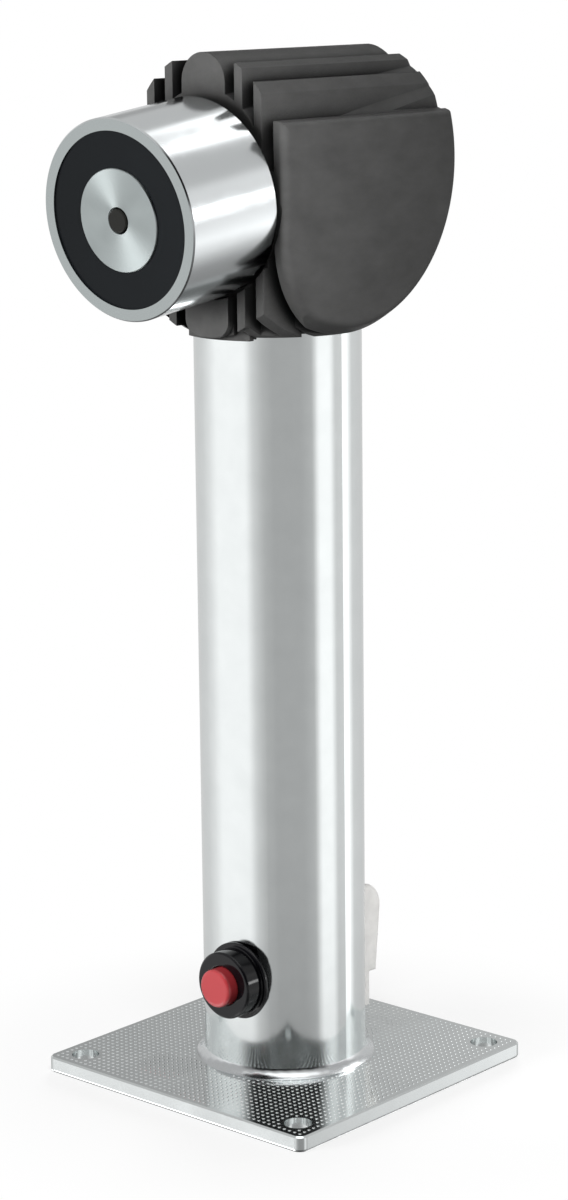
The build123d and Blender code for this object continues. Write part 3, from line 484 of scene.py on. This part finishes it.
# %% Dress the CAD nodes
slots = {part["node"]: part["material_slot"] for part in frame["record"]["subparts"]}
for name, node in nodes.items():
    material = plate_zinc if name == "base_plate" else finishes[slots[name]]
    node.data.materials.clear()
    node.data.materials.append(material)
print("dressed:", len(nodes))


# %% [markdown]
# New pieces are small here, and all are made the same way: a bmesh is shaped with operators, then
# becomes an object whose place is in its mesh. The helper does the last steps for each of them.

# %% Helper for new pieces
def new_piece(name, mesh_builder, body, material, smooth_deg=40):
    """Turns a bmesh into a piece that rides on a CAD body and takes its finish from a slot."""
    mesh = bpy.data.meshes.new(name)
    mesh_builder.to_mesh(mesh)
    mesh_builder.free()
    mesh.materials.append(material)
    mesh.shade_smooth()
    mesh.set_sharp_from_angle(angle=radians(smooth_deg))
    piece = bpy.data.objects.new(name, mesh)
    scene.collection.objects.link(piece)
    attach(piece, body)
    return piece


# %% [markdown]
# The plate is rolled with a fine pattern of raised dots, two millimetres apart, so that a shoe
# doesn't slip on it. A bump texture would show the dots only in its shading. Real dots catch the
# light on their shoulders and are part of the mesh itself, and with eight sides each they are
# cheap enough to have by the thousand.

# %% Raised dots on the plate
plate_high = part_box("base_plate")[1]
weld_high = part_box("weld_bead")[1]
dot_pitch = 2.0 * MM
dot_radius = 0.5 * MM
dot_top_radius = 0.28 * MM
dot_height = 0.22 * MM
dot_sunk = 0.02 * MM
dot_sides = 8
dot_sharp_deg = 25
dots_per_half = 25
bolt_mount = next(m for m in frame["record"]["mounts"] if m["name"] == "floor_bolts")
hole_reach = bolt_mount["dims"]["spacing_x_mm"] / 2 * MM
hole_clear = bolt_mount["dims"]["hole_r_mm"] * MM + dot_radius
weld_clear = weld_high.x + dot_radius

dots = bmesh.new()
for row in range(-dots_per_half, dots_per_half + 1):
    for column in range(-dots_per_half, dots_per_half + 1):
        x, y = column * dot_pitch, row * dot_pitch
        near_hole = hypot(abs(x) - hole_reach, abs(y) - hole_reach) < hole_clear
        if near_hole or hypot(x, y) < weld_clear:
            continue
        spot = Matrix.Translation((x, y, plate_high.z - dot_sunk + dot_height / 2))
        bmesh.ops.create_cone(dots, cap_ends=True, cap_tris=False, segments=dot_sides,
                              radius1=dot_radius, radius2=dot_top_radius, depth=dot_height,
                              matrix=spot)
undersides = [face for face in dots.faces if face.normal.z < -0.9]
bmesh.ops.delete(dots, geom=undersides, context="FACES_ONLY")
faces_per_dot = dot_sides + 1
dot_count = len(dots.faces) // faces_per_dot
new_piece("plate_dots", dots, "stand", plate_zinc, dot_sharp_deg)
print("raised dots:", dot_count)

# %% [markdown]
# A weld is laid down as a row of overlapping ripples. The construction model has it as a plain
# ring, so a ring with ripples takes its place: a hollow section is spun round the column, and then
# pushed in and out a little by two waves, one fine and one slow. The ring is drawn in a trace
# first, so that the ripples stay within the construction model's size.

# %% Rippled weld
tube_gap = 0.02 * MM
weld_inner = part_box("column_tube")[1].x + tube_gap
weld_height = weld_high.z - plate_high.z
weld_width = weld_high.x - weld_inner
weld_steps = 360
section_steps = 8
section_hollow = 2.6
ripple_depth = 0.035 * MM
fine_waves, slow_waves = 41, 7
slow_share = 0.6
ripple_lean = 2.5
drawn_in = 0.05 * MM
weld = bmesh.new()
section = []
for step in range(section_steps + 1):
    turn = pi / 2 * step / section_steps
    section.append(weld.verts.new((weld_inner + weld_width * cos(turn) ** section_hollow, 0,
                                   plate_high.z + weld_height * sin(turn) ** section_hollow)))
profile = [weld.edges.new(pair) for pair in zip(section, section[1:])]
bmesh.ops.spin(weld, geom=section + profile, cent=(0, 0, 0), axis=(0, 0, 1), dvec=(0, 0, 0),
               angle=2 * pi, steps=weld_steps, use_merge=True, use_normal_flip=False,
               use_duplicate=False)
for vertex in weld.verts:
    around_weld = atan2(vertex.co.y, vertex.co.x)
    rise = (vertex.co.z - plate_high.z) / weld_height
    waves = sin(around_weld * fine_waves + rise * ripple_lean) + slow_share * sin(around_weld * slow_waves)
    middle_share = max(0.0, rise * (1 - rise)) * 4
    reach = hypot(vertex.co.x, vertex.co.y)
    grow = 1 + (ripple_depth * waves * middle_share - drawn_in) / reach
    vertex.co.x *= grow
    vertex.co.y *= grow
bmesh.ops.recalc_face_normals(weld, faces=weld.faces)
weld_ring = new_piece("weld_ripples", weld, "stand", finishes["weld_metal"])
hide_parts("weld_bead")
print("weld ripples:", len(weld_ring.data.polygons), "faces")
